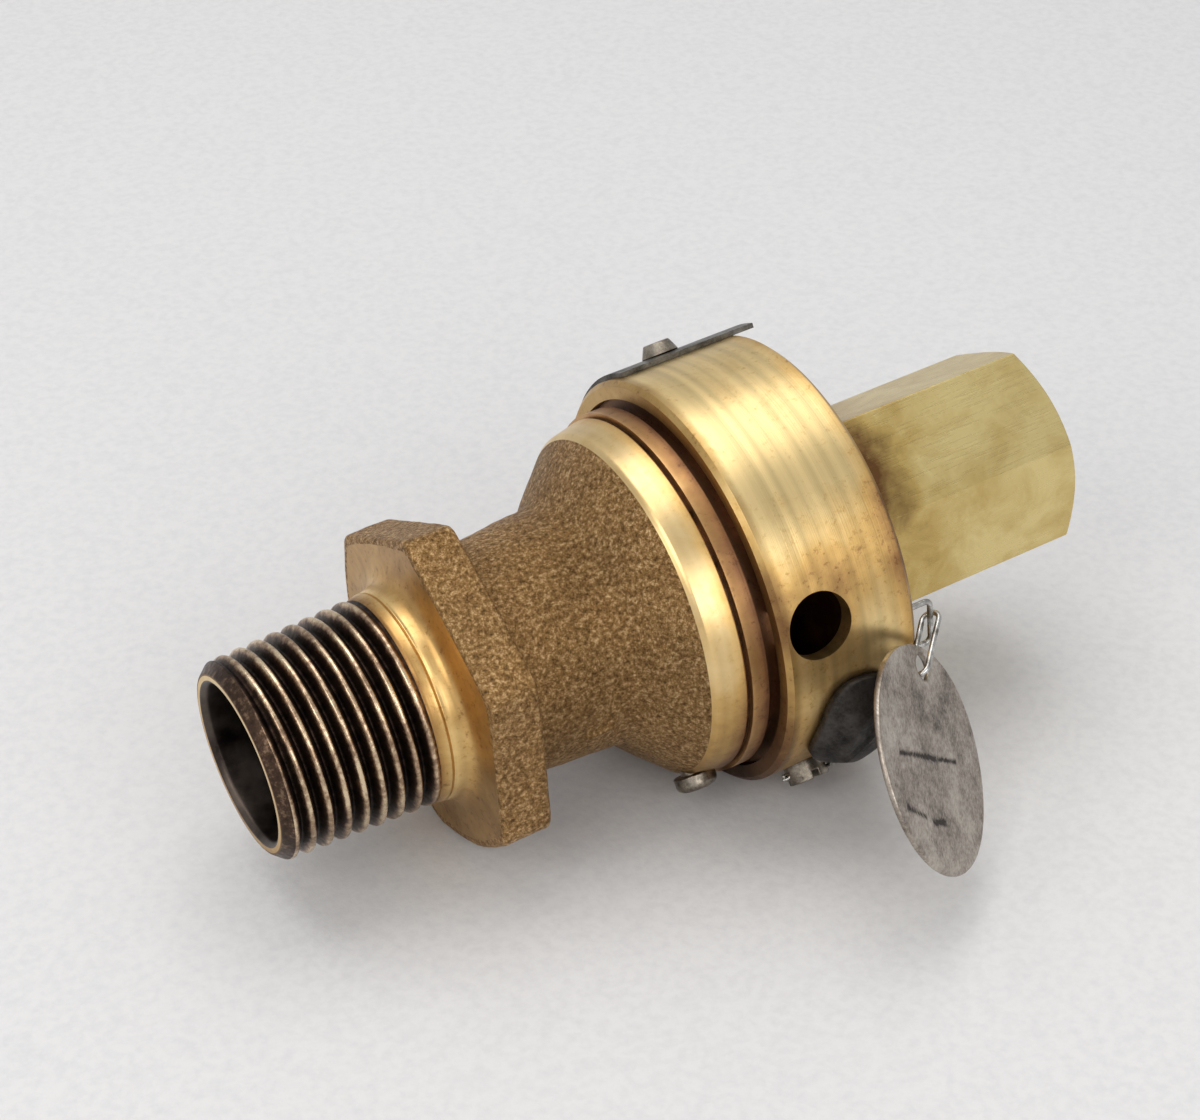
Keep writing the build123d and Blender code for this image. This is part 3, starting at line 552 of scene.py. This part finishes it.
phase = (x - bodyShape["firstCrest"]) / bodyShape["pitch"] - angle / (2 * pi)
inThread = (x > 0.9) & (x < 16.4) & (radius > 9.2)
runIn = smoothStep(0.9, 2.4, x) * (1 - smoothStep(14.8, 16.3, x))
depth = np.where(inThread, bodyShape["threadDepth"] * threadProfile(phase) * runIn, 0)
outline = radius + share * (flangeOutline(angle) - bodyShape["flangeRadius"]) - depth
skinPoints = aroundAxis(x, outline, angle)
castRows = ((zone >= 1.6) & (zone <= 2.4))[..., None]
cast = castRows * lumpyNoise(skinPoints, bodyShape["castLumpWave"])[..., None]
fineCast = castRows * lumpyNoise(skinPoints, bodyShape["fineLumpWave"])[..., None]
outward = aroundAxis(0 * x, 1.0, angle)
skinPoints = skinPoints + outward * (cast * bodyShape["castLumpMm"] + fineCast * bodyShape["fineLumpMm"])
# a short raised parting dash on the lower neck
dashAcross = (angle - radians(196)) * 12 + (x - 32.0) * 0.25
dash = np.exp(-(dashAcross / 0.45) ** 2) * smoothStep(30.6, 31.0, x) * (1 - smoothStep(33.6, 34.0, x))
dash = dash * (outline > 11)
skinPoints = skinPoints + outward * dash[..., None] * bodyShape["dashMm"]
zones = np.rint(sampled[:, 3]).astype(int)
bodyMesh = gridMesh("valveBody", skinPoints, zones=zones)
crest = (1 - threadProfile(phase)) ** 1.5 * inThread * 0.86 + 0.06
wearNoise = 0.5 + 0.5 * lumpyNoise(skinPoints, 9.0)
crest = crest * (0.65 + 0.5 * wearNoise)
crest = np.where((x < 1.0) & (radius > 8.6), 0.42, crest)
attribute = bodyMesh.attributes.new("crestWear", "FLOAT", "POINT")
attribute.data.foreach_set("value", crest.astype(np.float32).ravel())
closeMesh(bodyMesh)
addPiece(
    "valveBody", bodyMesh, [threadOxide, neckBrass, castBronze, rimBrass, boreFilm], ["body"],
)
print("body made:", len(bodyMesh.polygons), "faces")


# copies of CAD nodes with eased edges, so that edges catch the light as real ones do
def easedCopy(node, material, easeMm, smoothAngle=28):
    mesh = nodes[node].data.copy()
    mesh.name = node + "Eased"
    mesh.materials.clear()
    work = bmesh.new()
    work.from_mesh(mesh)
    bmesh.ops.remove_doubles(work, verts=work.verts, dist=0.002 * mm)
    bmesh.ops.dissolve_degenerate(work, edges=work.edges, dist=0.001 * mm)
    bmesh.ops.dissolve_limit(work, angle_limit=radians(0.4), verts=work.verts, edges=work.edges)
    for edge in work.edges:
        edge.smooth = not (edge.is_manifold and edge.calc_face_angle(0) > radians(smoothAngle))
    for face in work.faces:
        face.smooth = True
    work.to_mesh(mesh)
    work.free()
    piece = addPiece(node + "Eased", mesh, [material], [node])
    if easeMm:
        ease = piece.modifiers.new("easedEdges", "BEVEL")
        ease.width = easeMm * mm
        ease.segments = 2
        ease.limit_method = "ANGLE"
        ease.angle_limit = radians(smoothAngle)
        ease.harden_normals = True
    return piece


easedCopy("hood", drumBrass, 0.12)
easedCopy("cap", barBrass, 0.25)
easedCopy("nameplate", plateSteel, 0.08)
for name in ("hood_screws", "body_set_screw", "nameplate_screws", "ring_lock_screw"):
    easedCopy(name, screwSteel, 0.12)
easedCopy("tag_bail", bareWire, 0, 60)

nodeMaterials = {
    "bonnet": bonnetBrass, "seat_bushing": turnedStainless, "blowdown_ring": bonnetBrass,
    "valve_disc": turnedStainless,
    "bonnet_gasket": softCopper, "cap_gasket": softCopper, "spindle": turnedStainless,
    "lower_spring_washer": bonnetBrass, "upper_spring_washer": bonnetBrass, "spring": springSteel,
    "adjusting_screw": bonnetBrass, "lock_washer": turnedStainless, "lock_nut": barBrass,
}
for name, material in nodeMaterials.items():
    nodes[name].data.materials.clear()
    nodes[name].data.materials.append(material)
print("CAD nodes dressed")

# lead seal: a pinched lump, wider than thick, with a sloping edge and a crease across its face
sealShape = {
    "x": 55.6, "angle": 199.5, "halfLength": 5.05, "halfWidth": 7.4, "thick": 3.2, "innerRadius": 21.4,
    "slope": 0.5, "creaseMm": 0.3,
}
across = np.concatenate([np.linspace(0, 0.96, 14), np.linspace(0.97, 1.0, 3)])
rows = np.concatenate([across, across[::-1]])[:, None]
topSide = np.concatenate([np.zeros(len(across)), np.ones(len(across))])[:, None]
turn = np.linspace(0, 2 * pi, 120, endpoint=False)[None, :]
reach = 1 + 0.03 * np.sin(3 * turn + 1) + 0.025 * np.sin(5 * turn) - 0.055
along = sealShape["halfLength"] * rows * reach * np.cos(turn)
around = sealShape["halfWidth"] * rows * reach * np.sin(turn)
slope = np.clip((1 - rows) / sealShape["slope"], 0, 1)
height = sealShape["thick"] * (0.3 + 0.7 * slope ** 0.8)
tilt = np.clip(0.12 * (along - around) - 0.1, 0, 1.2)
crease = np.exp(-(((along * 0.75 + around * 0.66) + 0.4) / 0.28) ** 2) * sealShape["creaseMm"]
height = (height - tilt * slope + crease * slope - sealShape["creaseMm"]) * topSide
sealPoints = aroundAxis(
    sealShape["x"] + along, sealShape["innerRadius"] + height, radians(sealShape["angle"]) + around / 22.4
)
sealMesh = gridMesh("leadSeal", sealPoints, closedAlong=False)
closeMesh(sealMesh)
addPiece("leadSeal", sealMesh, [pinchedLead], ["lead_seal"])

# round tag: a punched disc with an off-centre hole, a rolled rim and a slight dish
tagShape = {"radius": 11.2, "thick": 0.6, "holeRadius": 1.35, "holeOffset": 9.27, "dishMm": 0.25, "holeEdgeMm": 0.08}
tagPin = np.array(joints["tag_swing"]["pos_m"]) / mm
tagNormal = np.array(joints["tag_swing"]["axis"])
tagNormal = tagNormal / np.linalg.norm(tagNormal)
tagDown = np.array([-0.386, -0.754, -0.532])
tagDown = tagDown - tagNormal * (tagDown @ tagNormal)
tagDown /= np.linalg.norm(tagDown)
tagSide = np.cross(tagNormal, tagDown)
tagCentre = tagPin + tagDown * tagShape["holeOffset"]
half = tagShape["thick"] / 2
flatRun = np.linspace(0.02, 0.985, 60)
roundEdge = np.linspace(pi / 2, -pi / 2, 9)[1:-1]
reachRow = np.concatenate([flatRun, 0.985 + 0.015 * np.cos(roundEdge), flatRun[::-1], [0.0, 0.0]])[:, None]
faceLift = np.full(len(flatRun), half)
holeLift = half - tagShape["holeEdgeMm"]
liftRow = np.concatenate([faceLift, half * np.sin(roundEdge), -faceLift, [-holeLift, holeLift]])[:, None]
turn = np.linspace(0, 2 * pi, 240, endpoint=False)[None, :]
holeX = tagShape["holeRadius"] * np.cos(turn) - tagShape["holeOffset"]
holeY = tagShape["holeRadius"] * np.sin(turn)
rimX, rimY = tagShape["radius"] * np.cos(turn), tagShape["radius"] * np.sin(turn)
u, v = holeX + (rimX - holeX) * reachRow, holeY + (rimY - holeY) * reachRow
dish = tagShape["dishMm"] * ((u - 3) / 12) ** 2 * (v / 12 + 0.4)


def scoreLine(u, v, start, end, width):
    # how close each point is to a straight scratch, from 0 to 1
    run = np.array(end) - np.array(start)
    t = np.clip(((u - start[0]) * run[0] + (v - start[1]) * run[1]) / (run @ run), 0, 1)
    gap = np.hypot(u - start[0] - t * run[0], v - start[1] - t * run[1])
    return np.exp(-(gap / width) ** 2)


scores = scoreLine(u, v, (-0.8, 5.2), (0.8, -7.4), 0.17)
scores = scores + 0.8 * scoreLine(u, v, (6.0, 1.0), (6.4, -1.6), 0.24)
scores += 0.8 * scoreLine(u, v, (6.2, -3.2), (6.0, -7.0), 0.22)
scores *= liftRow > 0
lift = liftRow + dish - 0.08 * scores
tagPoints = tagCentre + u[..., None] * tagDown + v[..., None] * tagSide + lift[..., None] * tagNormal
tagMesh = gridMesh("roundTag", tagPoints)
attribute = tagMesh.attributes.new("scoreDepth", "FLOAT", "POINT")
attribute.data.foreach_set("value", np.broadcast_to(scores, u.shape).astype(np.float32).ravel())
closeMesh(tagMesh)
addPiece("roundTag", tagMesh, [tagMetal], ["tag"])

# tag loop: round wire bent into a long slot between the bail and the tag's hole
loopShape = {"wireRadius": 0.28, "halfWidth": 0.92, "pinchMm": 0.04}
loopTop = np.array(joints["tag_ring_swing"]["pos_m"]) / mm
rise = loopTop - tagPin
halfLength = np.linalg.norm(rise) / 2
loopUp = rise / (2 * halfLength)
loopSide = tagNormal - loopUp * (tagNormal @ loopUp)
loopSide /= np.linalg.norm(loopSide)
arcTurn = np.linspace(0, pi, 24)
straight = np.linspace(-halfLength, halfLength, 30)[1:-1]
halfWidth = loopShape["halfWidth"]
pinch = 1 - loopShape["pinchMm"] * np.cos(straight / halfLength * pi / 2) ** 2
arcSideways, runSideways = halfWidth * np.cos(arcTurn), halfWidth * pinch
sideways = np.concatenate([arcSideways, -runSideways, -arcSideways, runSideways])
upwards = np.concatenate(
    [
        halfLength + halfWidth * np.sin(arcTurn), -straight, -halfLength - halfWidth * np.sin(arcTurn),
        straight,
    ]
)
loopPath = (loopTop + tagPin) / 2 + sideways[:, None] * loopSide + upwards[:, None] * loopUp
loopMesh = gridMesh("tagLoop", tubeAlong(loopPath, loopShape["wireRadius"], 16, True))
closeMesh(loopMesh)
addPiece("tagLoop", loopMesh, [bareWire], ["tag_ring"])

# seal wire: two strands twisted together, from the drilled screw head into the lead
wireShape = {"strandRadius": 0.2, "twistMm": 1.9, "samples": 320}
screwSeat = 21.0
knots = [
    aroundAxis(50.4, screwSeat + 1.15, radians(227)), aroundAxis(53.0, screwSeat + 1.2, radians(227)),
    aroundAxis(55.4, screwSeat + 1.5, radians(224)), aroundAxis(56.2, 22.7, radians(218)),
    aroundAxis(55.7, 22.9, radians(208)),
]
knots = np.array(knots)
t = np.linspace(0, len(knots) - 1, wireShape["samples"])
centreLine = np.stack([np.interp(t, np.arange(len(knots)), knots[:, k]) for k in range(3)], axis=-1)
kernel = np.hanning(41) / np.hanning(41).sum()
padded = np.concatenate([np.repeat(centreLine[:1], 20, 0), centreLine, np.repeat(centreLine[-1:], 20, 0)])
centreLine = np.stack([np.convolve(padded[:, k], kernel, mode="valid") for k in range(3)], axis=-1)
travelled = np.concatenate([[0], np.cumsum(np.linalg.norm(np.diff(centreLine, axis=0), axis=1))])
tangent = np.gradient(centreLine, axis=0)
tangent /= np.linalg.norm(tangent, axis=1, keepdims=True)
side = np.cross(tangent, np.array([0.3, 0.9, 0.3]))
side /= np.linalg.norm(side, axis=1, keepdims=True)
up = np.cross(side, tangent)
ends = np.arange(wireShape["samples"])
strands = []
for strand in range(2):
    spin = travelled / wireShape["twistMm"] * 2 * pi + strand * pi
    offset = wireShape["strandRadius"] * (np.cos(spin)[:, None] * side + np.sin(spin)[:, None] * up)
    radii = wireShape["strandRadius"] * np.clip(np.minimum(ends, ends[::-1]) / 2.0, 0.02, 1)
    strands.append(tubeAlong(centreLine + offset, radii, 10, False))
for strand, points in enumerate(strands):
    strandMesh = gridMesh("sealStrand" + "AB"[strand], points, closedAlong=False)
    closeMesh(strandMesh)
    addPiece("sealStrand" + "AB"[strand], strandMesh, [bareWire], ["seal_wire"])
print("seal, tag and wires made")

# floor: a sheet of pale paper that touches the flange corner and the drum, so it dips towards the cap
floorLook = {"sheet": "#D6D6D7", "fibre": "#CECED0", "tiltDegrees": 5.4, "sizeMm": 4000, "grainMm": 1.1}
paper, tree, place = startMaterial("palePaperSheet")
fibre = addNode(
    tree, "TexNoise", {"Scale": 1 / floorLook["grainMm"], "Detail": 4.0, "Roughness": 0.6},
    {"Vector": place},
)
colour = addNode(
    tree, "ValToRGB", links={0: fibre.outputs[0]},
    stops=[(0.3, floorLook["fibre"]), (0.6, floorLook["sheet"])],
)
rough = addNode(tree, "MapRange", {1: 0.3, 2: 0.7, 3: 0.7, 4: 0.9}, {0: fibre.outputs[0]})
finishMaterial(tree, colour.outputs[0], rough.outputs[0], fibre.outputs[0], 0.05, metallic=0.0)
reach = floorLook["sizeMm"] / 2
gridLine = np.linspace(-reach, reach, 3)
floorX, floorY = np.meshgrid(gridLine, gridLine, indexing="ij")
floorZ = -17.7 - (floorX - 24.7) * np.tan(radians(floorLook["tiltDegrees"]))
floorMesh = gridMesh(
    "paperFloor", np.stack([floorX, floorY, floorZ], axis=-1), closedAlong=False, closedAround=False,
)
floor = bpy.data.objects.new("paperFloor", floorMesh)
bpy.context.scene.collection.objects.link(floor)
floorMesh.materials.append(paper)

# camera: hand-held product view, from the inlet side and above
cameraPlace = {
    "mm": (-62.47, -197.72, 180.28), "headingDegrees": 27.34, "downDegrees": 37.96, "rollDegrees": -4.53,
}
lensMm = 87.0
cameraData = bpy.data.cameras.new("productCamera")
cameraData.lens = lensMm
cameraData.sensor_width = 36
camera = bpy.data.objects.new("productCamera", cameraData)
bpy.context.scene.collection.objects.link(camera)
aim = (
    Matrix.Rotation(radians(-cameraPlace["headingDegrees"]), 4, "Z")
    @ Matrix.Rotation(radians(90 - cameraPlace["downDegrees"]), 4, "X")
    @ Matrix.Rotation(radians(cameraPlace["rollDegrees"]), 4, "Z")
)
camera.matrix_world = Matrix.Translation(Vector(cameraPlace["mm"]) * mm) @ aim
bpy.context.scene.camera = camera


def addLight(name, placeMm, targetMm, sizeMm, watts, tone):
    lamp = bpy.data.lights.new(name, "AREA")
    lamp.shape = "RECTANGLE"
    lamp.size, lamp.size_y = sizeMm[0] * mm, sizeMm[1] * mm
    lamp.energy = watts
    lamp.color = linearColour(tone)[:3]
    holder = bpy.data.objects.new(name, lamp)
    bpy.context.scene.collection.objects.link(holder)
    direction = Vector(targetMm) - Vector(placeMm)
    turned = direction.to_track_quat("-Z", "Y").to_matrix().to_4x4()
    holder.matrix_world = Matrix.Translation(Vector(placeMm) * mm) @ turned


# one broad soft box above and behind, a second from the left, and a weak fill by the camera
middle = (45, 0, 0)
addLight("overheadSoftBox", (60, 180, 620), middle, (620, 460), 2.0, "#FFFDFA")
addLight("leftSoftBox", (-420, -200, 420), middle, (380, 380), 1.25, "#FFFCF6")
addLight("cameraFill", (60, -480, 260), middle, (420, 300), 0.9, "#FFFDFA")
world = bpy.data.worlds.new("paleStudio")
world.use_nodes = True
world.node_tree.nodes["Background"].inputs[0].default_value = linearColour("#DDDDDE")
world.node_tree.nodes["Background"].inputs[1].default_value = 0.8
bpy.context.scene.world = world
bpy.context.scene.view_settings.view_transform = "Standard"
print("floor, camera and lights placed")
